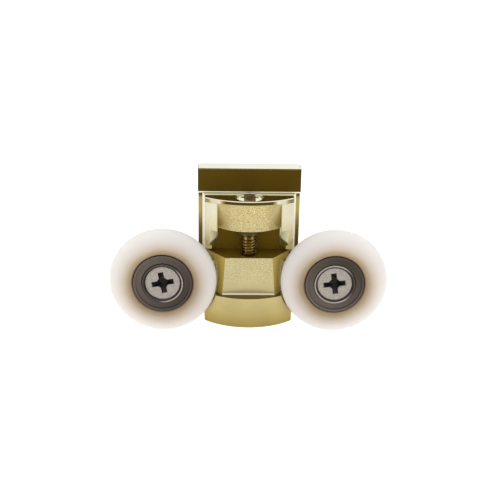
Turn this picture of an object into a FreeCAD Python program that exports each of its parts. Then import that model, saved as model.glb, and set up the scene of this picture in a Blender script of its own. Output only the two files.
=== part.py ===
import FreeCAD, Part
import math
import os

# Twin sliding door roller for a glass door. Millimetres, +X right, +Y back into the door, +Z up.
# Origin: centre of the fixing hole in the glass, on the glass's front face.

# ---- driving dimensions ----
GLASS_THICK = 6.0
GASKET_THICK = 0.8
WHEEL_DIA = 25.0
WHEEL_SPACING = 40.0
AXLE_Z = -7.2               # the wheel axles, below the fixing hole
BEARING_OD = 14.0
BEARING_WIDTH = 5.0
BEARING_FRONT = 13.0        # the bearing's front face, ahead of the body's back face
SCREW_OFFSET = 7.25         # adjusting screw, ahead of the body's back face
RUN_GAP = 0.05              # radial gap of every turning or sliding fit

# ---- housing, heights above the axles, depths ahead of the back face ----
BACK = -GASKET_THICK
PLATE_THICK = 3.8
PLATE_HALF = 11.9
BLOCK_THICK = 4.2
BLOCK_HALF = 12.0
TOP_Z = AXLE_Z + 25.4
SHELF_Z = AXLE_Z + 19.3
ROOF_Z = AXLE_Z + 11.6
LEG_Z = AXLE_Z + 6.6
FOOT_Z = AXLE_Z - 11.7
HOOD_HALF = 10.5
HOOD_DEPTH = 10.8           # at the middle of its bowed front
HOOD_BOW = 17.4             # radius of that bow
HOOD_CORNER = 1.0
HOOD_ROOT = 0.7             # concave rounding where its sides meet the plate
HOOD_RIM = 0.3              # rounding of the hood's upper edge
HOOD_LAND = 0.55            # upright band under the rounding
BARREL_HALF = 7.4           # half-width of the round belly between the legs
BARREL_DEPTH = 9.6          # of the belly's foot
BARREL_BOW = 9.5            # radius of the belly's front at its foot
WINDOW_HALF = 7.4           # half-width of the window at the plate
WINDOW_FLARE = 21.5         # degrees the window's sides open towards the front
WALL = 1.6
HOUSING_ROOM = 1.0          # radial room the housing leaves round each wheel, more than it rises
CARRIAGE_ROOM = 0.45        # and the carriage, which moves with the wheels
BOSS_RADIUS = 4.5
BOSS_LENGTH = 4.5           # past the glass's front face, inside the bush
TRACK_DEPTH = 1.3           # dovetail channel in the plate
TRACK_HALF = 3.6            # at the mouth
TRACK_UNDERCUT = 0.8
TRACK_TOP = AXLE_Z + 4.6

# ---- carriage ----
SILL_Z = AXLE_Z + 5.4
LEDGE_Z = AXLE_Z - 3.95
SKIRT_Z = AXLE_Z - 11.45
SKIRT_DEPTH = 12.6          # at the middle of its bowed front
SKIRT_BOW = 15.0            # radius of that bow
SKIRT_HALF = 10.4
NECK_TOP = (5.5, 10.2)      # half-width and depth ahead of the back face
NECK_FOOT = (6.2, 9.9)
NECK_BACK = (9.6, 4.6)
ARM_FRONT = 6.9
ARM_BACK = 4.6
ARM_TOP = AXLE_Z + 3.6
AXLE_BOSS_RADIUS = 5.5
AXLE_BOSS_BACK = 0.4

# ---- wheel and bearing, radii ----
WHEEL_R = WHEEL_DIA / 2
TYRE_WIDTH = 6.0
RING_OUT = BEARING_OD / 2
RACE_OUT = 6.0              # bore of the outer ring
RACE_IN = 4.8               # outside of the inner ring
BALL_R = 0.93
BALL_PITCH = 5.4
BALL_COUNT = 11
SHIELD_THICK = 0.25
SHIELD_SINK = 0.3
AXLE_BORE = 2.15
AXLE_SHANK = 1.95

# ---- screws ----
M4_R = 1.98
M4_PITCH = 0.7
M4_THREAD = 0.42            # thread depth
M5_R = 2.45
CLAMP_HEAD_R = 4.45
AXLE_HEAD_R = 3.98
AXLE_HEAD_SINK = 0.45
AXLE_SCREW_LENGTH = 12.0
HEAD_R = 3.05               # adjusting screw
HEAD_ROUND = 1.1            # rounding of the head's rim
HEAD_PROUD = 0.1            # its flat top, above the shelf
SCREW_TIP = AXLE_Z - 2.6
WASHER_THICK = 0.5
SINK_R = 3.15               # counterbore in the shelf
SINK_MOUTH = 0.1            # chamfer round its mouth
SINK_DEEP = 2.2
CLIP_THICK = 0.6
GROOVE_R = 1.5              # of the clip's groove

# ---- clamp on the glass ----
CLAMP_RADIUS = 11.0
CLAMP_THICK = 3.0
BUSH_RADIUS = 6.0
FLANGE_RADIUS = 6.9

WHEEL_MID = BACK - BEARING_FRONT + BEARING_WIDTH / 2
PLATE_Y = BACK - PLATE_THICK        # the plate's front face
SCREW_Y = BACK - SCREW_OFFSET
FAR = 60.0                  # larger than the whole roller, for cutters


def vec(x, y, z):
    return FreeCAD.Vector(x, y, z)


def box(x0, x1, y0, y1, z0, z1):
    return Part.makeBox(x1 - x0, y1 - y0, z1 - z0, vec(x0, y0, z0))


def rod_y(radius, y0, y1, x=0.0, z=0.0):
    return Part.makeCylinder(radius, y1 - y0, vec(x, y0, z), vec(0, 1, 0))


def rod_z(radius, z0, z1, x=0.0, y=0.0):
    return Part.makeCylinder(radius, z1 - z0, vec(x, y, z0))


def tube_y(inner, outer, y0, y1, x=0.0, z=0.0):
    return rod_y(outer, y0, y1, x, z).cut(rod_y(inner, y0 - 1, y1 + 1, x, z))


def prism(points, z0, z1):
    """A plan outline of (x, y) points, raised from z0 to z1."""
    corners = [vec(x, y, z0) for x, y in points]
    face = Part.Face(Part.makePolygon(corners + corners[:1]))
    return face.extrude(vec(0, 0, z1 - z0))


def lathe(points, centre, axis, side):
    """Turns an outline of (radius, height) points about an axis. side is the direction radius points in."""
    corners = [centre + side * r + axis * h for r, h in points]
    face = Part.Face(Part.makePolygon(corners + corners[:1]))
    return face.revolve(centre, axis, 360)


def lathe_y(points, x, z):
    """(radius, y) points turned about a line along Y."""
    return lathe(points, vec(x, 0, z), vec(0, 1, 0), vec(1, 0, 0))


def lathe_z(points, x, y):
    """(radius, z) points turned about a line along Z."""
    return lathe(points, vec(x, y, 0), vec(0, 0, 1), vec(1, 0, 0))


def edges_near(shape, test):
    """The edges whose middle point passes the test."""
    chosen = []
    for edge in shape.Edges:
        middle = edge.valueAt((edge.FirstParameter + edge.LastParameter) / 2)
        if test(edge, middle):
            chosen.append(edge)
    return chosen


def upright(edge):
    extent = edge.BoundBox
    return extent.XLength < 0.01 and extent.YLength < 0.01


def mirror_x(shape):
    return shape.mirror(vec(0, 0, 0), vec(1, 0, 0))


# ---- fasteners ----

def cross_recess(span, arm, deep, turn):
    """The cutter for a cross recess, opening towards -Y at the origin and narrowing as it goes in."""
    above = 0.5
    floor = span * 0.42
    blade = Part.makePolygon([
        vec(-span / 2, -above, 0), vec(-span / 2, 0, 0), vec(-floor / 2, deep, 0), vec(floor / 2, deep, 0),
        vec(span / 2, 0, 0), vec(span / 2, -above, 0), vec(-span / 2, -above, 0)])
    wing = Part.Face(blade).extrude(vec(0, 0, arm))
    wing.translate(vec(0, 0, -arm / 2))
    other = wing.copy()
    other.rotate(vec(0, 0, 0), vec(0, 1, 0), 90)
    flare = Part.makeCone(arm * 1.05, arm * 0.5, deep, vec(0, 0, 0), vec(0, 1, 0))
    cross = wing.fuse([other, flare])
    cross.rotate(vec(0, 0, 0), vec(0, 1, 0), turn)
    return cross


def countersunk_screw(head_r, shank_r, head_y, length, x, z, turn):
    """A countersunk screw with its head towards -Y."""
    tip = head_y + length
    chamfer = 0.4
    edge = 0.04
    body = lathe_y([
        (0, head_y), (head_r - 3 * edge, head_y), (head_r, head_y + edge),
        (shank_r, head_y + edge + head_r - shank_r), (shank_r, tip - chamfer), (shank_r - chamfer, tip),
        (0, tip)], x, z)
    recess = cross_recess(span=head_r * 1.38, arm=head_r * 0.33, deep=head_r * 0.45, turn=turn)
    recess.translate(vec(x, head_y, z))
    return body.cut(recess)


def thread_ridge(radius, pitch, deep, z0, z1):
    """A V-shaped ridge wound up a core of radius minus deep."""
    root = radius - deep
    helix = Part.Wire(Part.makeHelix(pitch, z1 - z0, root).Edges)
    half = pitch * 0.42
    inside = 0.1
    profile = Part.makePolygon([
        vec(root - inside, 0, -half), vec(radius, 0, -pitch * 0.06), vec(radius, 0, pitch * 0.06),
        vec(root - inside, 0, half), vec(root - inside, 0, -half)])
    ridge = helix.makePipeShell([profile], True, True)
    ridge.translate(vec(0, 0, z0))
    return ridge


# ---- housing and the parts that clamp it to the glass ----

def wheel_room(y0, y1, room):
    radius = WHEEL_R + room
    left = rod_y(radius, y0, y1, -WHEEL_SPACING / 2, AXLE_Z)
    return left.fuse(rod_y(radius, y0, y1, WHEEL_SPACING / 2, AXLE_Z))


def bow_depth(x, crown, radius):
    """Depth at x of a front bowed at a radius, with its crown in the middle."""
    return crown - radius + math.sqrt(radius ** 2 - x ** 2)


def bowed_plan(half, crown, radius, back, z):
    """Plan wire with straight sides and a bowed front, from depth back to depth crown."""
    shoulder = bow_depth(half, crown, radius)
    bow = Part.Arc(vec(-half, BACK - shoulder, z), vec(0, BACK - crown, z), vec(half, BACK - shoulder, z))
    sides = Part.makePolygon([vec(half, BACK - shoulder, z), vec(half, BACK - back, z),
                              vec(-half, BACK - back, z), vec(-half, BACK - shoulder, z)])
    return Part.Wire([bow.toShape()] + sides.Edges)


def hood_root(side):
    """Upright fillet between one side of the hood and the plate."""
    x = side * HOOD_HALF
    edge = x + side * HOOD_ROOT
    front = PLATE_Y - HOOD_ROOT
    square = box(min(x, edge), max(x, edge), front, PLATE_Y, LEG_Z, SHELF_Z)
    return square.cut(rod_z(HOOD_ROOT, LEG_Z - 1, SHELF_Z + 1, edge, front))


def barrel(inset, z0, z1):
    """The hood's round belly, rounder and shallower towards its foot, between z0 and z1. inset shrinks it."""
    top_z = SHELF_Z - HOOD_RIM - HOOD_LAND
    back = PLATE_THICK - 1
    half = BARREL_HALF - inset
    belly = Part.makeLoft([bowed_plan(half, BARREL_DEPTH - inset, BARREL_BOW - inset, back, ROOF_Z),
                           bowed_plan(half, HOOD_DEPTH - inset, HOOD_BOW - inset, back, top_z)], True, True)
    return belly.common(box(-FAR, FAR, -FAR, BACK, z0, z1))


def hood():
    """Bowed box with legs at its sides. Under its land the front narrows to the round belly."""
    top_z = SHELF_Z - HOOD_RIM - HOOD_LAND
    plan = bowed_plan(HOOD_HALF, HOOD_DEPTH, HOOD_BOW, PLATE_THICK - 1, LEG_Z)
    shell = Part.Face(plan).extrude(vec(0, 0, SHELF_Z - LEG_Z))
    shell = shell.makeFillet(HOOD_CORNER, edges_near(shell, lambda e, m: upright(e) and m.y < PLATE_Y - 1))
    shell = shell.makeFillet(HOOD_RIM, edges_near(shell, lambda e, m: abs(m.z - SHELF_Z) < 0.01
                                                  and m.y < PLATE_Y + 0.5))
    notch = box(-BARREL_HALF, BARREL_HALF, -FAR, PLATE_Y - 1, LEG_Z - 1, top_z)
    return shell.cut(notch).fuse([barrel(0.0, ROOF_Z, top_z), hood_root(-1), hood_root(1)])


def window():
    """The opening between the legs. Its sides open towards the front."""
    deep = FAR / 2
    front_half = WINDOW_HALF + (deep - PLATE_THICK) * math.tan(math.radians(WINDOW_FLARE))
    return prism([(-WINDOW_HALF, PLATE_Y), (WINDOW_HALF, PLATE_Y), (front_half, BACK - deep),
                  (-front_half, BACK - deep)], LEG_Z - 1, ROOF_Z)


def roof_cavity():
    """Hollows the hood from below, and leaves a round boss for the adjusting screw."""
    ceiling = SHELF_Z - SINK_DEEP - WALL
    boss_wall = 0.6
    hollow = barrel(WALL, ROOF_Z, ceiling)
    hollow = hollow.common(box(-FAR, FAR, -FAR, PLATE_Y - WALL, -FAR, FAR))
    return hollow.cut(rod_z(SINK_R + boss_wall, ROOF_Z - 1, SHELF_Z, 0, SCREW_Y))


def track_outline(gap):
    """The dovetail's plan outline, smaller than the channel by gap."""
    mouth = PLATE_Y - 0.5
    floor = PLATE_Y + TRACK_DEPTH - gap
    half = TRACK_HALF - gap
    return [(-half, mouth), (half, mouth), (half, PLATE_Y), (half + TRACK_UNDERCUT, floor),
            (-half - TRACK_UNDERCUT, floor), (-half, PLATE_Y)]


def plate():
    """The flat back, with its front edges eased and its lower corners rounded."""
    corner = 2.0
    ease = 0.5
    slab = box(-PLATE_HALF, PLATE_HALF, PLATE_Y, BACK, FOOT_Z, SHELF_Z + 1)
    slab = slab.makeFillet(corner, edges_near(slab, lambda e, m: abs(m.z - FOOT_Z) < 0.01
                                              and abs(m.x) > PLATE_HALF - 0.01))
    return slab.makeFillet(ease, edges_near(slab, lambda e, m: m.y < PLATE_Y + 0.01 and upright(e)
                                            and abs(m.x) > PLATE_HALF - 0.01))


def block():
    """The bar on top of the plate. It stands a little proud of it, with a rounded lower front edge."""
    front = BACK - BLOCK_THICK
    foot = 0.5
    corner = 1.3
    ease = 0.2
    bar = box(-BLOCK_HALF, BLOCK_HALF, front, BACK, SHELF_Z, TOP_Z)
    bar = bar.makeFillet(foot, edges_near(bar, lambda e, m: m.y < front + 0.01 and m.z < SHELF_Z + 0.01))
    bar = bar.makeFillet(corner, edges_near(bar, lambda e, m: upright(e) and m.y > BACK - 0.01))
    return bar.makeFillet(ease, edges_near(bar, lambda e, m: abs(m.z - TOP_Z) < 0.01))


def counterbore():
    """The screw head's seat in the shelf, with a chamfered mouth."""
    floor = SHELF_Z - SINK_DEEP
    mouth = SHELF_Z - SINK_MOUTH
    return lathe_z([(0, floor), (SINK_R, floor), (SINK_R, mouth), (SINK_R + SINK_MOUTH, SHELF_Z),
                    (SINK_R + SINK_MOUTH, SHELF_Z + 0.1), (0, SHELF_Z + 0.1)], 0, SCREW_Y)


def housing():
    drum = hood().cut(window()).cut(roof_cavity())
    drum = drum.cut(wheel_room(-FAR, BACK - ARM_FRONT - 0.25, HOUSING_ROOM))
    boss = rod_y(BOSS_RADIUS, BACK - 1, BOSS_LENGTH)
    body = plate().fuse([block(), drum, boss])
    body = body.cut(prism(track_outline(0.0), FOOT_Z - 1, TRACK_TOP))
    bore_end = 1.0
    body = body.cut(rod_y(M5_R + RUN_GAP, PLATE_Y + bore_end, BOSS_LENGTH + 1))
    body = body.cut(counterbore())
    body = body.cut(rod_z(M4_R + RUN_GAP, ROOF_Z - 2, SHELF_Z, 0, SCREW_Y))
    return body.removeSplitter()


def front_gasket():
    """Rounded pad between the plate and the glass, open for the bush's flange."""
    half_x = 10.5
    half_z = 15.0
    pad = box(-half_x, half_x, BACK, 0, -half_z, half_z)
    pad = pad.makeFillet(2.5, edges_near(pad, lambda e, m: abs(abs(m.x) - half_x) < 0.01
                                         and abs(abs(m.z) - half_z) < 0.01))
    return pad.cut(rod_y(FLANGE_RADIUS + 0.1, BACK - 1, 1))


def glass_bush():
    """Flanged nylon sleeve that keeps the metal boss off the edge of the glass."""
    chamfer = 0.3
    inner = BOSS_RADIUS + RUN_GAP
    end = GLASS_THICK - 0.2
    return lathe_y([(inner, BACK), (FLANGE_RADIUS, BACK), (FLANGE_RADIUS, 0), (BUSH_RADIUS, 0),
                    (BUSH_RADIUS, end - chamfer), (BUSH_RADIUS - chamfer, end), (inner, end)], 0, 0)


def rear_gasket():
    return tube_y(BUSH_RADIUS + 0.1, CLAMP_RADIUS - 0.8, GLASS_THICK, GLASS_THICK + GASKET_THICK)


def clamp_disc():
    """Round plate with a chamfered rim, countersunk for the clamp screw."""
    y0 = GLASS_THICK + GASKET_THICK
    y1 = y0 + CLAMP_THICK
    head_r = CLAMP_HEAD_R + 0.3
    rim = 0.8
    bore = M5_R + 0.2
    return lathe_y([(bore, y0), (CLAMP_RADIUS, y0), (CLAMP_RADIUS, y1 - rim), (CLAMP_RADIUS - rim, y1),
                    (head_r, y1), (bore, y1 - head_r + bore)], 0, 0)


def clamp_screw():
    """M5 countersunk screw, driven from the back, into the housing's boss."""
    head_y = GLASS_THICK + GASKET_THICK + CLAMP_THICK - 0.2
    length = 12.0
    screw = countersunk_screw(CLAMP_HEAD_R, M5_R, 0, length, 0, 0, 20)
    screw.rotate(vec(0, 0, 0), vec(0, 0, 1), 180)
    screw.translate(vec(0, head_y, 0))
    return screw


# ---- height adjuster ----

def adjusting_screw():
    """M4 screw held in the roof by its head and a clip. Its thread carries the carriage."""
    seat = SHELF_Z - SINK_DEEP + WASHER_THICK
    crown = SHELF_Z + HEAD_PROUD
    groove_top = ROOF_Z - RUN_GAP
    groove_foot = groove_top - CLIP_THICK - RUN_GAP
    thread_top = groove_foot - 0.8
    root = M4_R - M4_THREAD
    tip_chamfer = 0.4
    core = lathe_z([(0, SCREW_TIP), (root - tip_chamfer, SCREW_TIP), (root, SCREW_TIP + tip_chamfer),
                    (root, thread_top + M4_THREAD), (0, thread_top + M4_THREAD)], 0, 0)
    core = core.fuse(thread_ridge(M4_R, M4_PITCH, M4_THREAD, SCREW_TIP + M4_PITCH, thread_top - M4_PITCH))
    core.translate(vec(0, SCREW_Y, 0))
    shank = lathe_z([
        (0, thread_top), (root, thread_top), (M4_R, thread_top + M4_THREAD), (M4_R, groove_foot),
        (GROOVE_R, groove_foot), (GROOVE_R, groove_top), (M4_R, groove_top), (M4_R, seat + 0.1),
        (0, seat + 0.1)], 0, SCREW_Y)
    head = rod_z(HEAD_R, seat, crown, 0, SCREW_Y)
    head = head.makeFillet(HEAD_ROUND, edges_near(head, lambda e, m: m.z > crown - 0.01))
    recess = cross_recess(span=4.3, arm=1.2, deep=1.4, turn=0)
    recess.rotate(vec(0, 0, 0), vec(1, 0, 0), -90)
    recess.translate(vec(0, SCREW_Y, crown))
    return core.fuse([shank, head]).cut(recess)


def adjuster_washer():
    z0 = SHELF_Z - SINK_DEEP
    ring = rod_z(HEAD_R, z0, z0 + WASHER_THICK, 0, SCREW_Y)
    return ring.cut(rod_z(M4_R + RUN_GAP, z0 - 1, z0 + 1, 0, SCREW_Y))


def adjuster_clip():
    """Open retaining ring in the screw's groove, under the roof. Three lands inside it grip the groove."""
    outside = 2.6
    inside = GROOVE_R + 0.45
    land = 0.4
    top = ROOF_Z - 2 * RUN_GAP
    z0 = top - CLIP_THICK
    ring = rod_z(outside, z0, top, 0, SCREW_Y)
    mouth = box(0.05 - GROOVE_R, GROOVE_R - 0.05, SCREW_Y, SCREW_Y + FAR, z0, top)
    relief = rod_z(inside, z0, top, 0, SCREW_Y)
    relief = relief.cut(box(-outside, outside, SCREW_Y - land, SCREW_Y + land, z0, top))
    relief = relief.cut(box(-land, land, SCREW_Y - outside, SCREW_Y, z0, top))
    return ring.cut([mouth, relief, rod_z(GROOVE_R + 0.02, z0, top, 0, SCREW_Y)])


# ---- carriage ----

def neck():
    """Block under the window. Its front face leans back towards its foot, and its sides splay."""
    y_rear = PLATE_Y - RUN_GAP

    def plan(front, z):
        half, deep = front
        back_half, back_deep = NECK_BACK
        corners = [vec(-half, BACK - deep, z), vec(half, BACK - deep, z),
                   vec(back_half, BACK - back_deep, z), vec(back_half, y_rear, z),
                   vec(-back_half, y_rear, z), vec(-back_half, BACK - back_deep, z)]
        return Part.makePolygon(corners + corners[:1])

    return Part.makeLoft([plan(NECK_FOOT, LEDGE_Z - 1), plan(NECK_TOP, SILL_Z)], True, True)


def skirt():
    """Bowed apron under the neck, hollow from below."""
    y_rear = PLATE_Y - RUN_GAP
    ease = 0.6
    rear_wall = WALL + 0.6
    bow_y = BACK - SKIRT_DEPTH + SKIRT_BOW
    drum = rod_z(SKIRT_BOW, SKIRT_Z, LEDGE_Z, 0, bow_y).common(
        box(-SKIRT_HALF, SKIRT_HALF, -FAR, y_rear, -FAR, FAR))
    drum = drum.makeFillet(ease, edges_near(drum, lambda e, m: m.z < LEDGE_Z - 0.1 and m.y < y_rear - 0.1))
    hollow = rod_z(SKIRT_BOW - WALL, SKIRT_Z - 1, LEDGE_Z - WALL, 0, bow_y).common(
        box(WALL - SKIRT_HALF, SKIRT_HALF - WALL, -FAR, y_rear - rear_wall, -FAR, FAR))
    return drum.cut(hollow)


def arm():
    """Right-hand arm, behind the wheel, with a tapped boss for the axle screw."""
    y_front = BACK - ARM_FRONT
    y_back = BACK - ARM_BACK
    centre = WHEEL_SPACING / 2
    bar = box(WINDOW_HALF, centre, y_front, y_back, LEDGE_Z, ARM_TOP)
    pad = rod_y(AXLE_BOSS_RADIUS, y_front, y_back, centre, AXLE_Z)
    boss_r = AXLE_BOSS_RADIUS - 1
    boss_end = BACK - AXLE_BOSS_BACK
    chamfer = 0.5
    boss = lathe_y([(0, y_front), (boss_r, y_front), (boss_r, boss_end - chamfer),
                    (boss_r - chamfer, boss_end), (0, boss_end)], centre, AXLE_Z)
    rib_half = 1.0
    rib = box(PLATE_HALF + 0.8, centre, y_back - 0.1, BACK - 1.5, AXLE_Z - rib_half, AXLE_Z + rib_half)
    return bar.fuse([pad, boss, rib])


def carriage():
    front = neck().fuse(skirt())
    foot_round = 0.3
    front = front.makeFillet(foot_round, edges_near(front, lambda e, m: abs(m.z - LEDGE_Z) < 0.01
                                                    and abs(m.x) < SKIRT_HALF - 1 and m.y > BACK - 10.5
                                                    and m.y < BACK - 5))
    front = front.cut(wheel_room(-FAR, BACK - ARM_FRONT - 0.25, CARRIAGE_ROOM))
    tongue = prism(track_outline(RUN_GAP), SKIRT_Z + 2.0, TRACK_TOP - 1.1)
    right = arm()
    body = front.fuse([tongue, right, mirror_x(right)])
    bore_foot = SCREW_TIP - 1.2
    body = body.cut(rod_z(M4_R + RUN_GAP, bore_foot, SILL_Z + 1, 0, SCREW_Y))
    for side in (-1, 1):
        x = side * WHEEL_SPACING / 2
        body = body.cut(rod_y(AXLE_SHANK + RUN_GAP, -FAR, FAR, x, AXLE_Z))
    return body.removeSplitter()


# ---- wheels, one function per piece, for the wheel at x ----

def spacer(x):
    return tube_y(AXLE_SHANK + 0.2, 3.6, WHEEL_MID + BEARING_WIDTH / 2, BACK - ARM_FRONT, x, AXLE_Z)


def axle_screw(x, turn):
    head_y = BACK - BEARING_FRONT + AXLE_HEAD_SINK
    return countersunk_screw(AXLE_HEAD_R, AXLE_SHANK, head_y, AXLE_SCREW_LENGTH, x, AXLE_Z, turn)


def ball_groove(x, radius=BALL_R + 0.02):
    return Part.makeTorus(BALL_PITCH, radius, vec(x, WHEEL_MID, AXLE_Z), vec(0, 1, 0))


def inner_ring(x):
    """Bearing inner ring, countersunk in front for the axle screw's head."""
    y0 = WHEEL_MID - BEARING_WIDTH / 2
    y1 = WHEEL_MID + BEARING_WIDTH / 2
    mouth = AXLE_HEAD_R + AXLE_HEAD_SINK + 0.06
    edge = 0.12
    ring = lathe_y([(AXLE_BORE, y0 + mouth - AXLE_BORE), (mouth, y0), (RACE_IN - edge, y0),
                    (RACE_IN, y0 + edge), (RACE_IN, y1 - edge), (RACE_IN - edge, y1),
                    (AXLE_BORE, y1)], x, AXLE_Z)
    return ring.cut(ball_groove(x))


def outer_ring(x):
    """Bearing outer ring, stepped at both ends for the shields."""
    half = BEARING_WIDTH / 2
    step_r = RACE_OUT + 0.3
    step = SHIELD_SINK + SHIELD_THICK
    edge = 0.2
    ring = lathe_y([(step_r, -half), (RING_OUT - edge, -half), (RING_OUT, edge - half),
                    (RING_OUT, half - edge), (RING_OUT - edge, half), (step_r, half), (step_r, half - step),
                    (RACE_OUT, half - step), (RACE_OUT, step - half), (step_r, step - half)], x, AXLE_Z)
    ring.translate(vec(0, WHEEL_MID, 0))
    return ring.cut(ball_groove(x))


def shield(x, end):
    """Thin pressed ring that closes the bearing. end is -1 at the front and 1 at the back."""
    outside = BEARING_WIDTH / 2 - SHIELD_SINK
    inside = outside - SHIELD_THICK
    dish = 0.12
    bore = RACE_IN + 0.12
    rim = RACE_OUT + 0.28
    bend = RACE_OUT - 0.35
    points = [(bore, outside), (rim, outside), (rim, inside), (bend, inside), (bend - dish, inside - dish),
              (bore, inside - dish)]
    return lathe_y([(r, WHEEL_MID + end * y) for r, y in points], x, AXLE_Z)


def balls(x):
    """The ring of bearing balls, one solid each."""
    spheres = []
    for i in range(BALL_COUNT):
        a = 2 * math.pi * i / BALL_COUNT
        centre = vec(x + BALL_PITCH * math.sin(a), WHEEL_MID, AXLE_Z + BALL_PITCH * math.cos(a))
        spheres.append(Part.makeSphere(BALL_R, centre))
    return Part.makeCompound(spheres)


def ball_cage(x):
    """Crown ring between the races, drilled through for each ball."""
    half = 1.4
    cage = tube_y(BALL_PITCH - 0.35, BALL_PITCH + 0.35, WHEEL_MID - half, WHEEL_MID + half, x, AXLE_Z)
    pocket = BALL_R + 0.07
    for i in range(BALL_COUNT):
        a = 2 * math.pi * i / BALL_COUNT
        outward = vec(math.sin(a), 0, math.cos(a))
        start = vec(x, WHEEL_MID, AXLE_Z) + outward * (BALL_PITCH - 1)
        cage = cage.cut(Part.makeCylinder(pocket, 2, start, outward))
    return cage


def tyre(x):
    """Nylon wheel with a full-round rim, moulded round the bearing."""
    crown = TYRE_WIDTH / 2
    centre_r = WHEEL_R - crown
    bore = RING_OUT + 0.01
    half = BEARING_WIDTH / 2
    edge = 0.3
    lap = 0.6                   # the rim's arc runs this far past its half circle
    shoulder_r = centre_r - lap
    shoulder_y = math.sqrt(crown ** 2 - lap ** 2)
    proud = 0.02
    base = vec(x, WHEEL_MID, AXLE_Z)

    def at(r, y):
        return base + vec(r, y, 0)

    rim = Part.Arc(at(shoulder_r, shoulder_y), at(WHEEL_R, 0), at(shoulder_r, -shoulder_y)).toShape()
    rest = Part.makePolygon([at(shoulder_r, -shoulder_y), at(bore + edge, -half - proud),
                             at(bore, edge - half), at(bore, half - edge), at(bore + edge, half + proud),
                             at(shoulder_r, shoulder_y)])
    face = Part.Face(Part.Wire([rim] + rest.Edges))
    return face.revolve(base, vec(0, 1, 0), 360)


def save(name, shape):
    shape.exportStep(os.path.join("parts", name + ".step"))


def main():
    os.makedirs("parts", exist_ok=True)
    save("housing", housing())
    save("front_gasket", front_gasket())
    save("glass_bush", glass_bush())
    save("rear_gasket", rear_gasket())
    save("clamp_disc", clamp_disc())
    save("clamp_screw", clamp_screw())
    save("adjusting_screw", adjusting_screw())
    save("adjuster_washer", adjuster_washer())
    save("adjuster_clip", adjuster_clip())
    save("carriage", carriage())
    for side, sign, turn in (("left", -1, -11), ("right", 1, -7)):
        x = sign * WHEEL_SPACING / 2
        save(side + "_axle_screw", axle_screw(x, turn))
        save(side + "_spacer", spacer(x))
        save(side + "_inner_ring", inner_ring(x))
        save(side + "_outer_ring", outer_ring(x))
        save(side + "_front_shield", shield(x, -1))
        save(side + "_rear_shield", shield(x, 1))
        save(side + "_balls", balls(x))
        save(side + "_cage", ball_cage(x))
        save(side + "_tyre", tyre(x))


main()
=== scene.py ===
import bpy
import math
from mathutils import Matrix, Vector


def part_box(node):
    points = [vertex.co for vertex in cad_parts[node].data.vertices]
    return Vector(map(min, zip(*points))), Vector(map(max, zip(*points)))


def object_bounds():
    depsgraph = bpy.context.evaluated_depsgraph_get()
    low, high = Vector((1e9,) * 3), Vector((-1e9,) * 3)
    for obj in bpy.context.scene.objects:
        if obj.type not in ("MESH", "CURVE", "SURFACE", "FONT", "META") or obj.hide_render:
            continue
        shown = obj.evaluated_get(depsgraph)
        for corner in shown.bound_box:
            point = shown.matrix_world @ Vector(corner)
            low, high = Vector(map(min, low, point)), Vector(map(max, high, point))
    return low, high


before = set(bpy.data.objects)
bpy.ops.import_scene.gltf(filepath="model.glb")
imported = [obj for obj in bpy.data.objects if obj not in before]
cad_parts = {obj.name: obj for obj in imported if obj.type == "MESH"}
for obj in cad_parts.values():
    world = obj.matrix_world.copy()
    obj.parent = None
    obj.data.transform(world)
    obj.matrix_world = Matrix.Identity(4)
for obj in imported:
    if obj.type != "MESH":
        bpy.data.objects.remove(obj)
cad_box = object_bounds()

MM = 0.001
GRAIN_DEPTH = 0.01 * MM


def centre(node):
    low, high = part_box(node)
    return (low + high) / 2


# heights and depths the materials and the camera work from
back_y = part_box("front_gasket")[0].y
plate_y = back_y - 3.8 * MM
top_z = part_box("housing")[1].z
shelf_z = top_z - 6.1 * MM
roof_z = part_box("adjuster_clip")[1].z + 0.1 * MM
axle_z = centre("left_outer_ring").z
ledge_z = axle_z - 3.95 * MM
carriage_low, carriage_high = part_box("carriage")

# half-widths of the castings
hood_half = 10.5 * MM
window_half = 9.15 * MM
belly_half = 7.45 * MM

WHITE = (1.0, 1.0, 1.0)

# dark colour of the cards in the mirrored world, and painted colours for the matt gold: a painted dark
# reflection, the belly's tone and a painted highlight line
DARK_GOLD = (0.089, 0.055, 0.0067)
PAINTED_DARK_REFLECTION = (0.086, 0.052, 0.0055)
BELLY_PAINT = (0.72, 0.62, 0.31)
PAINTED_HIGHLIGHT_LINE = (1.0, 0.98, 0.84)


# ---- node graph helper ----

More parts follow.
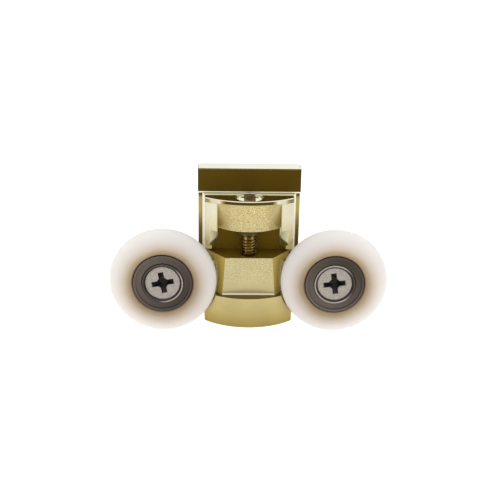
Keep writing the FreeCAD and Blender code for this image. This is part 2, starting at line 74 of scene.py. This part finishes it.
class Graph:
    """Builds a material's or a world's node tree."""

    def __init__(self, tree):
        self.tree = tree
        tree.nodes.clear()

    def node(self, kind, **settings):
        made = self.tree.nodes.new(kind)
        for key, value in settings.items():
            setattr(made, key, value)
        return made

    def plug(self, socket, value):
        if isinstance(value, bpy.types.NodeSocket):
            self.tree.links.new(value, socket)
        elif isinstance(value, (tuple, list)) and socket.type == "RGBA" and len(value) == 3:
            socket.default_value = (*value, 1.0)
        else:
            socket.default_value = value

    def math(self, operation, a, b=0.0, clamp=False):
        made = self.node("ShaderNodeMath", operation=operation, use_clamp=clamp)
        self.plug(made.inputs[0], a)
        self.plug(made.inputs[1], b)
        return made.outputs[0]

    def all_of(self, first, *rest):
        """The product of 0-1 masks."""
        for mask in rest:
            first = self.math("MULTIPLY", first, mask)
        return first

    def any_of(self, first, *rest):
        """The largest of 0-1 masks."""
        for mask in rest:
            first = self.math("MAXIMUM", first, mask)
        return first

    def step(self, value, low, high, to_low=0.0, to_high=1.0, linear=False):
        """Step of value from low to high, smooth or linear."""
        made = self.node("ShaderNodeMapRange", interpolation_type="LINEAR" if linear else "SMOOTHSTEP")
        for socket, x in zip(made.inputs, (value, low, high, to_low, to_high)):
            self.plug(socket, x)
        return made.outputs[0]

    def above(self, value, edge, soft=0.1 * MM):
        """1 where value is past edge, 0 where it is short of it, blurred over soft."""
        return self.step(value, edge - soft / 2, edge + soft / 2)

    def below(self, value, edge, soft=0.1 * MM):
        """1 where value is short of edge, 0 where it is past it, blurred over soft."""
        return self.step(value, edge + soft / 2, edge - soft / 2)

    def mix(self, factor, a, b, blend="MIX"):
        made = self.node("ShaderNodeMix", data_type="RGBA", blend_type=blend)
        self.plug(made.inputs["Factor"], factor)
        self.plug(made.inputs[6], a)
        self.plug(made.inputs[7], b)
        return made.outputs[2]

    def noise(self, vector, scale, detail=2.0, rough=0.5):
        made = self.node("ShaderNodeTexNoise")
        self.plug(made.inputs["Vector"], vector)
        made.inputs["Scale"].default_value = scale
        made.inputs["Detail"].default_value = detail
        made.inputs["Roughness"].default_value = rough
        return made.outputs["Fac"]

    def ramp(self, factor, stops):
        made = self.node("ShaderNodeValToRGB")
        line = made.color_ramp
        while len(line.elements) < len(stops):
            line.elements.new(0.5)
        for element, (place, colour) in zip(line.elements, stops):
            element.position = place
            element.color = (*colour, 1.0)
        self.plug(made.inputs["Fac"], factor)
        return made.outputs["Color"]

    def bump(self, height, distance, strength):
        made = self.node("ShaderNodeBump")
        made.inputs["Strength"].default_value = strength
        made.inputs["Distance"].default_value = distance
        self.plug(made.inputs["Height"], height)
        return made.outputs["Normal"]

    def place(self):
        """The point in the object's own coordinates, and its x, y and z."""
        coordinate = self.node("ShaderNodeTexCoord").outputs["Object"]
        parts = self.node("ShaderNodeSeparateXYZ")
        self.plug(parts.inputs[0], coordinate)
        return coordinate, parts.outputs[0], parts.outputs[1], parts.outputs[2]

    def angle(self, x, z, hub):
        """Angle about the line along Y through hub, in radians from +X towards +Z."""
        return self.math("ARCTAN2", self.math("SUBTRACT", z, hub.z), self.math("SUBTRACT", x, hub.x))

    def radius(self, x, z, hub):
        """Distance from the line along Y through hub."""
        dx = self.math("SUBTRACT", x, hub.x)
        dz = self.math("SUBTRACT", z, hub.z)
        squares = self.math("ADD", self.math("MULTIPLY", dx, dx), self.math("MULTIPLY", dz, dz))
        return self.math("SQRT", squares)

    def surface(self, **values):
        shader = self.node("ShaderNodeBsdfPrincipled")
        for name, value in values.items():
            self.plug(shader.inputs[name.replace("_", " ")], value)
        out = self.node("ShaderNodeOutputMaterial")
        self.tree.links.new(shader.outputs[0], out.inputs[0])


def material(name):
    made = bpy.data.materials.new(name)
    made.use_nodes = True
    return made, Graph(made.node_tree)


def srgb(red, green, blue):
    """Linear colour from 0-255 display values."""
    def linear(v):
        v = v / 255.0
        return v / 12.92 if v <= 0.04045 else ((v + 0.055) / 1.055) ** 2.4
    return linear(red), linear(green), linear(blue)


# ---- materials ----

def gold_skin(g, at, satin, sparkle, shade=None, dull=0.0, matt=0.0, paint=(0.5, 0.4, 0.2)):
    """Gold plate: polished, rougher where satin or dull, dotted where sparkle. Those three are 0-1 masks.

    shade is a colour that multiplies the plate's. Where matt is above 0 the plate is painted, and where
    it is 1 it mirrors nothing.
    """
    cloud = g.noise(at, 160, 3, 0.55)
    fine = g.noise(at, 2300, 2, 0.6)
    speck = g.noise(at, 4200, 1, 0.5)
    satin_rough, dull_rough = 0.16, 0.30
    rough = g.math("ADD", g.step(cloud, 0.3, 0.75, 0.06, 0.10), g.math("MULTIPLY", satin, satin_rough))
    rough = g.math("ADD", rough, g.math("MULTIPLY", dull, dull_rough))
    height = g.math("ADD", g.math("MULTIPLY", g.math("MULTIPLY", fine, satin), 0.25),
                    g.math("MULTIPLY", g.math("MULTIPLY", speck, sparkle), 0.4))
    normal = g.bump(height, 0.04 * MM, 0.7)
    colour = g.mix(g.step(cloud, 0.35, 0.75), (0.88, 0.86, 0.72), (0.84, 0.81, 0.65))
    if shade is not None:
        colour = g.mix(1.0, colour, shade, "MULTIPLY")
    # the paint carries the callers' painted light and shade, with a slight random tone from the cloud; matt
    # places show it
    tone_and_painted_light = g.mix(1.0, g.step(cloud, 0.3, 0.75, 0.95, 1.05), paint, "MULTIPLY")
    colour = g.mix(g.math("MULTIPLY", matt, 4.0, clamp=True), colour, tone_and_painted_light)
    pit = g.math("MULTIPLY", g.step(speck, 0.44, 0.32), sparkle)
    glint = g.math("MULTIPLY", g.step(speck, 0.58, 0.70), g.math("MULTIPLY", sparkle, 0.8))
    colour = g.mix(pit, colour, (0.42, 0.34, 0.16))
    colour = g.mix(glint, colour, (1.0, 0.99, 0.90))
    gloss = g.math("SUBTRACT", 0.5, g.math("MULTIPLY", matt, 0.42))
    g.surface(Base_Color=colour, Metallic=g.math("SUBTRACT", 1.0, matt, clamp=True), Roughness=rough,
              Normal=normal, Specular_IOR_Level=gloss)


def facing(g):
    """How far the surface faces up, and how far it faces sideways, from 0 to 1."""
    parts = g.node("ShaderNodeSeparateXYZ")
    g.plug(parts.inputs[0], g.node("ShaderNodeTexCoord").outputs["Normal"])
    return parts.outputs[2], g.math("ABSOLUTE", parts.outputs[0])


def face_on(g):
    """1 where the surface is seen square on, 0 where it is seen at an angle."""
    seen = g.node("ShaderNodeLayerWeight")
    seen.inputs["Blend"].default_value = 0.5
    return g.step(seen.outputs["Facing"], 0.30, 0.12)


def housing_gold():
    """Polished flats on the block and in the window, painted dark where seen square on in place of their dark
    reflection; edges with a painted highlight line; painted light and shade on the legs, the plate's strips
    and the belly's sides; and a speckled satin belly.
    """
    made, g = material("housing_gold")
    at, x, y, z = g.place()
    across = g.math("ABSOLUTE", x)
    sideways = facing(g)[1]

    # regions
    ahead = g.below(y, plate_y - 0.6 * MM, 0.4 * MM)
    satin = g.all_of(g.below(z, shelf_z - 1.05 * MM, 0.3 * MM), ahead)
    in_window = g.below(across, window_half)
    leg_insides = g.all_of(ahead, g.below(z, roof_z), in_window, g.above(sideways, 0.6, 0.2))
    leg = g.all_of(satin, g.above(across, belly_half, 0.5 * MM))
    below_shelf = g.all_of(g.below(y, plate_y + 0.55 * MM, 0.5 * MM), g.below(z, shelf_z - 0.05 * MM))
    strip_start = hood_half + 0.45 * MM
    strips = g.all_of(g.above(across, strip_start), below_shelf)
    # the hood's roots and the block's foot get a painted highlight line
    roots = g.all_of(g.above(across, hood_half - 0.15 * MM), g.below(across, strip_start), below_shelf)
    block_foot = g.all_of(g.above(z, shelf_z + 0.035 * MM, 0.03 * MM), g.below(z, shelf_z + 0.45 * MM))
    bright = g.any_of(roots, block_foot)
    window = g.all_of(g.above(y, plate_y - 0.35 * MM, 0.3 * MM), in_window,
                      g.below(z, shelf_z - 1.25 * MM, 0.5 * MM))
    block = g.all_of(g.above(z, shelf_z + 0.4 * MM), g.below(z, top_z - 0.325 * MM, 0.15 * MM))
    # flats seen square on go matt and take the painted dark reflection
    flats = g.all_of(g.any_of(window, block), face_on(g))

    # painted light and shade, and the belly's own tone
    # painted reflection on the plate's strips beside the hood: a thin dark band at the top, then gold, then
    # brown and dark lower down
    painted_strip_reflection = g.ramp(g.step(z, axle_z + 5 * MM, shelf_z, linear=True),
                        [(0.0, (0.12, 0.08, 0.012)), (0.23, (0.14, 0.09, 0.014)), (0.44, (0.20, 0.13, 0.022)),
                         (0.71, (0.47, 0.38, 0.13)), (0.92, (0.42, 0.34, 0.12)), (0.97, (0.11, 0.07, 0.01))])
    # the legs' inner faces are painted bright near the roof, in place of the white they mirror, and dark with
    # painted shade below
    painted_inside_light = g.mix(g.above(z, roof_z - 3.15 * MM, 0.7 * MM), (0.16, 0.10, 0.012), (1.0, 0.95, 0.62))
    # painted shade on the belly's sides, stronger lower down
    low = g.step(z, shelf_z - 2.0 * MM, roof_z + 0.5 * MM, 0.3, 1.0)
    belly_side_shade = g.all_of(satin, low, g.above(across, 4.6 * MM, 2.0 * MM))
    # painted light on the legs: darker lower down, brighter towards the shelf
    painted_leg_light = g.mix(g.step(z, axle_z + 8 * MM, shelf_z - 2 * MM), (0.72, 0.62, 0.32), (0.93, 0.90, 0.72))
    paint = g.mix(belly_side_shade, BELLY_PAINT, (0.56, 0.45, 0.17))
    paint = g.mix(leg, paint, painted_leg_light)
    # painted dark reflection on the block, and a lighter one on the window's back
    paint = g.mix(block, paint, PAINTED_DARK_REFLECTION)
    paint = g.mix(window, paint, tuple(2.1 * c for c in PAINTED_DARK_REFLECTION))
    paint = g.mix(strips, paint, painted_strip_reflection)
    paint = g.mix(bright, paint, PAINTED_HIGHLIGHT_LINE)
    paint = g.mix(leg_insides, paint, painted_inside_light)

    matt = g.any_of(flats, strips, leg_insides, bright, g.math("MULTIPLY", satin, 0.55))
    dull = g.any_of(leg_insides, g.math("MULTIPLY", satin, 0.2))
    sparkle = g.all_of(satin, g.step(across, 3.0 * MM, 7.0 * MM, 1.0, 0.15))
    gold_skin(g, at, satin, sparkle, None, dull, matt, paint)
    return made


def carriage_gold():
    """Satin cast face, speckled towards the sill. A painted dark reflection on the sill, ledge and sliding
    faces, painted shade on the flanks, the wheel cuts and towards the skirt's edge, and a painted highlight
    line at the neck's foot.
    """
    made, g = material("carriage_gold")
    at, x, y, z = g.place()
    up, sideways = facing(g)
    flat = g.step(up, 0.7, 0.95)
    satin = g.math("SUBTRACT", 1.0, flat)

    # regions
    near = g.below(g.math("ABSOLUTE", x), hood_half, 0.2 * MM)
    above_ledge = g.above(z, ledge_z + 0.025 * MM, 0.15 * MM)
    flank = g.all_of(g.step(sideways, 0.45, 0.6), above_ledge, near)
    slide = g.all_of(g.above(y, plate_y - 0.7 * MM, 0.2 * MM), near)
    hidden = g.any_of(g.all_of(flat, near), slide)
    neck_foot = g.all_of(above_ledge, g.below(z, ledge_z + 0.4 * MM, 0.2 * MM))
    wheel_cut = g.all_of(g.math("SUBTRACT", 1.0, above_ledge), g.step(sideways, 0.75, 0.85))

    # painted light and shade
    # painted shade on the skirt, darkest at its bottom edge
    painted_skirt_shade = g.ramp(g.step(z, carriage_low.z, ledge_z, linear=True),
                        [(0.0, (0.38, 0.29, 0.08)), (0.15, (0.46, 0.36, 0.115)), (0.5, (0.60, 0.50, 0.22)),
                         (1.0, (0.69, 0.59, 0.30))])
    paint = g.mix(above_ledge, painted_skirt_shade, (0.74, 0.65, 0.37))
    # painted highlight line along the neck's foot
    paint = g.mix(neck_foot, paint, (1.0, 0.98, 0.76))
    # painted shade on the neck's flanks
    paint = g.mix(flank, paint, (0.54, 0.40, 0.095))
    # painted dark reflection on the sill, the ledge and the sliding faces
    paint = g.mix(hidden, paint, tuple(1.7 * c for c in PAINTED_DARK_REFLECTION))
    # painted shade on the cut faces beside the wheels
    paint = g.mix(wheel_cut, paint, (0.60, 0.50, 0.22))

    matt = g.any_of(g.math("MULTIPLY", satin, 0.6), wheel_cut, neck_foot, flank, hidden)
    dull = g.math("MULTIPLY", g.any_of(flank, wheel_cut), 0.45)
    towards_sill = g.step(z, axle_z - 3 * MM, carriage_high.z, 0.1, 1.0)
    sparkle = g.all_of(satin, towards_sill, above_ledge, g.math("SUBTRACT", 1.0, flank))
    gold_skin(g, at, satin, sparkle, None, dull, matt, paint)
    return made


def small_gold():
    """Plated steel of the clamp disc and the washer."""
    made, g = material("small_gold")
    gold_skin(g, g.place()[0], 0.4, 0.2)
    return made


def adjuster_gold():
    """Plated screw: head painted a bright pale gold for its highlight, with painted shade in its recess and
    along a band through its middle, and a thread darkened with painted shade.
    """
    made, g = material("adjuster_gold")
    at, x, y, z = g.place()
    middle = centre("adjuster_washer")
    head_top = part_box("adjusting_screw")[1].z
    dx = g.math("SUBTRACT", x, middle.x)
    dy = g.math("SUBTRACT", y, middle.y)
    r = g.math("SQRT", g.math("ADD", g.math("MULTIPLY", dx, dx), g.math("MULTIPLY", dy, dy)))
    head = g.above(z, shelf_z - 2.5 * MM, 1 * MM)
    recess_shade = g.all_of(g.below(z, head_top - 0.125 * MM, 0.15 * MM), g.below(r, 2.25 * MM, 0.3 * MM))
    slot = g.below(g.math("ABSOLUTE", dx), 1.35 * MM, 0.3 * MM)
    # painted shade darkens the thread below the head
    shade = g.mix(head, (0.46, 0.36, 0.15), (1.0, 1.0, 1.0))
    # the head is painted a bright pale gold in place of its highlight; the recess and a band through its
    # middle get painted shade
    paint = g.mix(g.any_of(recess_shade, slot), (1.0, 0.95, 0.66), (0.12, 0.075, 0.01))
    gold_skin(g, at, 0.3, 0.3, shade, 0.0, head, paint)
    return made


def nylon(name, hub):
    """Translucent white nylon, with painted shade where the dark bearing and the gold body behind it show
    through.
    """
    made, g = material(name)
    at, x, y, z = g.place()
    r = g.radius(x, z, hub)
    wobble = g.noise(at, 220, 2, 0.5)
    shifted = g.math("ADD", r, g.math("MULTIPLY", g.math("SUBTRACT", wobble, 0.5), 0.6 * MM))
    inner, outer = 7.0 * MM, 12.5 * MM  # the bearing's radius and the tyre's
    # painted shade: brown next to the bearing, paling to white at the rim
    painted_halo_shade = (
        (7.0, (132, 106, 80)), (7.35, (160, 137, 108)), (8.0, (176, 157, 130)), (8.7, (200, 184, 164)),
        (9.4, (212, 200, 187)), (10.1, (222, 213, 204)), (10.8, (229, 222, 216)), (11.6, (234, 229, 224)),
        (12.5, (241, 238, 234)))
    colour = g.ramp(g.step(shifted, inner, outer, linear=True),
                    [((mm * MM - inner) / (outer - inner), srgb(*shade)) for mm, shade in painted_halo_shade])
    # painted shade towards the gold body behind the tyre
    painted_body_shade = g.step(g.math("ABSOLUTE", x), 7 * MM, 24 * MM, 1.0, 0.0)
    colour = g.mix(painted_body_shade, colour, (0.86, 0.85, 0.85), "MULTIPLY")
    grain = g.noise(at, 1500, 2, 0.5)
    normal = g.bump(grain, GRAIN_DEPTH, 0.3)
    g.surface(Base_Color=colour, Roughness=0.42, Normal=normal, Subsurface_Weight=0.2,
              Subsurface_Radius=(1.0, 0.8, 0.65), Subsurface_Scale=0.8 * MM)
    return made


def scaled(colour, factor):
    return tuple(min(1.0, c * factor) for c in colour)


def turned_steel(name, hub, colour, rough=0.32, sheen_at=150, dark_from=None):
    """Ground steel with fine rings about the axle and a soft painted sheen, brighter on one side. Dark beyond
    dark_from.
    """
    made, g = material(name)
    at, x, y, z = g.place()
    r = g.radius(x, z, hub)
    line = g.node("ShaderNodeCombineXYZ")
    g.plug(line.inputs[0], r)
    rings = g.noise(line.outputs[0], 5200, 2, 0.6)
    smear = g.noise(at, 500, 2, 0.5)
    base = g.mix(g.step(rings, 0.3, 0.7), scaled(colour, 0.86), scaled(colour, 1.10))
    # painted sheen: lighter on the side facing sheen_at, darker on the other
    turn = g.math("SUBTRACT", g.angle(x, z, hub), math.radians(sheen_at))
    side = g.step(g.math("COSINE", turn), -1.0, 1.0, linear=True)
    far_side = g.mix(1.0, base, (0.62, 0.60, 0.60), "MULTIPLY")
    near_side = g.mix(1.0, base, (1.25, 1.25, 1.25), "MULTIPLY")
    base = g.mix(side, far_side, near_side)
    # darker at the rim beyond dark_from
    if dark_from is not None:
        base = g.mix(g.step(r, dark_from - 0.08 * MM, dark_from + 0.04 * MM), base, (0.03, 0.02, 0.015))
    g.surface(Base_Color=base, Metallic=0.45, Normal=g.bump(rings, GRAIN_DEPTH, 0.3),
              Roughness=g.step(smear, 0.3, 0.7, rough - 0.06, rough + 0.08))
    return made


def inner_ring_steel(name, hub, face_y, lit_arc_at, lit_arc_share):
    """Ground face with a painted highlight over lit_arc_share of the way round, centred at the angle
    lit_arc_at.
    The rest of the face is painted darker, and the countersink and the bore get painted shade."""
    made, g = material(name)
    at, x, y, z = g.place()
    smear = g.noise(at, 700, 2, 0.5)
    # painted shade on the countersink and the bore
    recess_shade = g.step(y, face_y + 0.02 * MM, face_y + 0.10 * MM)
    # painted highlight over one arc of the face; the rest of the face is painted darker
    turn = g.math("COSINE", g.math("SUBTRACT", g.angle(x, z, hub), math.radians(lit_arc_at)))
    edge = 1.0 - 2.0 * lit_arc_share
    lit_arc = g.step(turn, edge - 0.25, edge + 0.25)
    face = g.mix(lit_arc, (0.10, 0.085, 0.08), g.mix(smear, (0.42, 0.38, 0.37), (0.60, 0.56, 0.54)))
    base = g.mix(recess_shade, face, (0.035, 0.028, 0.025))
    g.surface(Base_Color=base, Metallic=0.4, Roughness=g.step(smear, 0.3, 0.7, 0.24, 0.36),
              Normal=g.bump(smear, GRAIN_DEPTH, 0.3))
    return made


def screw_steel(name, face_y):
    """Zinc-plated screw: satin grainy head, with painted shade inside the recess."""
    made, g = material(name)
    at, x, y, z = g.place()
    grain = g.noise(at, 2600, 3, 0.7)
    # painted shade inside the recess
    recess_shade = g.step(y, face_y + 0.10 * MM, face_y + 0.35 * MM)
    shade = g.mix(g.step(grain, 0.3, 0.7), (0.40, 0.365, 0.34), (0.56, 0.52, 0.49))
    base = g.mix(recess_shade, shade, (0.03, 0.027, 0.027))
    rough = g.math("ADD", 0.36, g.math("MULTIPLY", grain, 0.15))
    g.surface(Base_Color=base, Metallic=0.35, Roughness=rough, Normal=g.bump(grain, 2 * GRAIN_DEPTH, 0.5))
    return made


def plain_grain(name, colour, metallic, rough, scale=900):
    """One even material with a fine grain, for the small and hidden pieces."""
    made, g = material(name)
    grain = g.noise(g.place()[0], scale, 3, 0.6)
    base = g.mix(g.step(grain, 0.3, 0.75), scaled(colour, 0.88), scaled(colour, 1.08))
    g.surface(Base_Color=base, Metallic=metallic, Normal=g.bump(grain, GRAIN_DEPTH, 0.3),
              Roughness=g.step(grain, 0.25, 0.75, rough - 0.05, rough + 0.08))
    return made


def dress(node, made):
    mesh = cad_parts[node].data
    mesh.materials.clear()
    mesh.materials.append(made)


def dress_all():
    dress("housing", housing_gold())
    dress("carriage", carriage_gold())
    small = small_gold()
    dress("clamp_disc", small)
    dress("adjuster_washer", small)
    dress("adjusting_screw", adjuster_gold())
    dress("adjuster_clip", plain_grain("spring_steel", (0.09, 0.065, 0.02), 0.4, 0.45))
    rubber = plain_grain("gasket_vinyl", (0.42, 0.44, 0.45), 0.0, 0.55)
    dress("front_gasket", rubber)
    dress("rear_gasket", rubber)
    dress("glass_bush", plain_grain("bush_nylon", (0.80, 0.79, 0.76), 0.0, 0.45))
    dress("clamp_screw", plain_grain("clamp_screw_steel", (0.5, 0.49, 0.47), 1.0, 0.35, 1900))
    cage = plain_grain("cage_brass", (0.55, 0.40, 0.16), 1.0, 0.35)
    ball = plain_grain("ball_steel", (0.75, 0.75, 0.76), 1.0, 0.12)
    ring_grey = (0.150, 0.130, 0.122)
    shield_grey = (0.135, 0.115, 0.107)
    # where each bearing's painted sheen sits, and which part of its inner ring gets a painted highlight
    bearing_sheen = {"left": (150, -25, 0.28), "right": (235, 180, 0.85)}
    for side, (sheen_at, lit_arc_at, lit_arc_share) in bearing_sheen.items():
        hub = centre(side + "_tyre")
        head_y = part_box(side + "_axle_screw")[0].y
        face_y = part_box(side + "_inner_ring")[0].y
        dress(side + "_tyre", nylon(side + "_nylon", hub))
        ring = turned_steel(side + "_ring_steel", hub, ring_grey, sheen_at=sheen_at, dark_from=6.85 * MM)
        dress(side + "_outer_ring", ring)
        shield = turned_steel(side + "_shield_steel", hub, shield_grey, 0.4, sheen_at)
        dress(side + "_front_shield", shield)
        dress(side + "_rear_shield", shield)
        race = inner_ring_steel(side + "_race_steel", hub, face_y, lit_arc_at, lit_arc_share)
        dress(side + "_inner_ring", race)
        dress(side + "_axle_screw", screw_steel(side + "_screw_steel", head_y))
        dress(side + "_spacer", turned_steel(side + "_spacer_steel", hub, (0.45, 0.44, 0.43)))
        dress(side + "_cage", cage)
        dress(side + "_balls", ball)


# ---- studio ----

def studio_world():
    """White studio for the eye and for soft light. What the metal mirrors has dark cards in it."""
    world = bpy.data.worlds.new("studio")
    bpy.context.scene.world = world
    world.use_nodes = True
    world.cycles.sampling_method = "NONE"
    g = Graph(world.node_tree)
    parts = g.node("ShaderNodeSeparateXYZ")
    g.plug(parts.inputs[0], g.node("ShaderNodeTexCoord").outputs["Generated"])
    x, y, z = parts.outputs
    # azimuth is 0 straight ahead of the roller and pi behind it, on either side
    azimuth = g.math("ABSOLUTE", g.math("ARCTAN2", x, g.math("MULTIPLY", y, -1.0)))
    height = g.math("ARCSINE", z)
    deg = math.pi / 180

    def card(around, half, soft, foot, head):
        """1 inside a dark card centred at an azimuth, 0 outside. Angles are in degrees."""
        off = g.math("ABSOLUTE", g.math("SUBTRACT", azimuth, around * deg))
        wide = g.step(off, half * deg, (half + soft) * deg, 1.0, 0.0)
        tall = g.math("MULTIPLY", g.step(height, (foot - 0.6) * deg, (foot + 0.6) * deg),
                      g.step(height, head * deg, (head + 12) * deg, 1.0, 0.0))
        return g.math("MULTIPLY", wide, tall)

    dark = g.any_of(card(0, 36, 12, -21.2, 24), card(90, 20, 10, -18, 2), card(180, 24, 10, -24, 2))
    # the floor ahead is a little dimmer than the walls, and dimmer still low down at the sides
    low_zone = g.step(height, -20.6 * deg, -21.8 * deg)
    deep = g.all_of(g.step(height, -28 * deg, -34 * deg), g.step(azimuth, 34 * deg, 50 * deg))
    dim = g.math("ADD", g.math("MULTIPLY", low_zone, 0.19), g.math("MULTIPLY", deep, 0.20))
    ahead = g.step(azimuth, 100 * deg, 120 * deg, 1.0, 0.0)
    beside = g.all_of(g.step(azimuth, 46 * deg, 54 * deg), g.step(azimuth, 78 * deg, 70 * deg))
    dim = g.any_of(g.all_of(ahead, dim), g.math("MULTIPLY", beside, 0.08))
    level = g.math("SUBTRACT", g.math("SUBTRACT", 1.0, dark), dim, clamp=True)
    mirrored = g.ramp(level, [(0.0, DARK_GOLD), (0.3, (0.28, 0.20, 0.06)), (0.6, (0.52, 0.425, 0.185)),
                              (0.8, (0.69, 0.60, 0.34)), (0.92, (0.85, 0.815, 0.72)), (1.0, WHITE)])
    soft = g.ramp(g.step(z, -0.6, 0.6), [(0.0, (0.86, 0.86, 0.86)), (1.0, (1.03, 1.03, 1.03))])
    ray = g.node("ShaderNodeLightPath").outputs
    colour = g.mix(ray["Is Glossy Ray"], soft, mirrored)
    colour = g.mix(ray["Is Camera Ray"], colour, WHITE)
    background = g.node("ShaderNodeBackground")
    g.plug(background.inputs["Color"], colour)
    out = g.node("ShaderNodeOutputWorld")
    world.node_tree.links.new(background.outputs[0], out.inputs[0])


def floor():
    """White sheet a little under the roller, which hangs. It doesn't show in the gold."""
    half = 1500 * MM
    z = cad_box[0].z - 30 * MM
    mesh = bpy.data.meshes.new("floor")
    corners = [(-half, -half, z), (half, -half, z), (half, half, z), (-half, half, z)]
    mesh.from_pydata(corners, [], [(0, 1, 2, 3)])
    piece = bpy.data.objects.new("floor", mesh)
    bpy.context.scene.collection.objects.link(piece)
    made, g = material("floor_paper")
    paper = g.noise(g.place()[0], 60, 3, 0.5)
    base = g.mix(paper, (0.97, 0.97, 0.97), (0.99, 0.99, 0.99))
    g.surface(Base_Color=base, Roughness=0.9, Emission_Color=WHITE, Emission_Strength=0.25)
    mesh.materials.append(made)
    piece.visible_glossy = False


def camera():
    """The photograph's view: a little above, a touch from the left, and close."""
    elevation = math.radians(19.3)
    azimuth = math.radians(-1.55)
    roll = math.radians(1.0)
    distance = 240 * MM
    field = 120.3 * MM
    anchor = Vector((0.0, back_y, axle_z + 10 * MM))
    aim = anchor + Vector((0.5, 0.0, -6.4)) * MM
    back = Vector((math.sin(azimuth) * math.cos(elevation), -math.cos(azimuth) * math.cos(elevation),
                   math.sin(elevation)))
    data = bpy.data.cameras.new("camera")
    data.sensor_width = 36.0
    data.lens = data.sensor_width * distance / field
    data.clip_start = 0.01
    data.clip_end = 10.0
    eye = bpy.data.objects.new("camera", data)
    bpy.context.scene.collection.objects.link(eye)
    eye.location = anchor + back * distance
    eye.rotation_mode = "QUATERNION"
    turn = (aim - eye.location).to_track_quat("-Z", "Y")
    eye.rotation_quaternion = turn @ Matrix.Rotation(roll, 3, "Z").to_quaternion()
    bpy.context.scene.camera = eye


def look():
    view = bpy.context.scene.view_settings
    view.view_transform = "Standard"
    view.look = "None"


dress_all()
studio_world()
floor()
camera()
look()
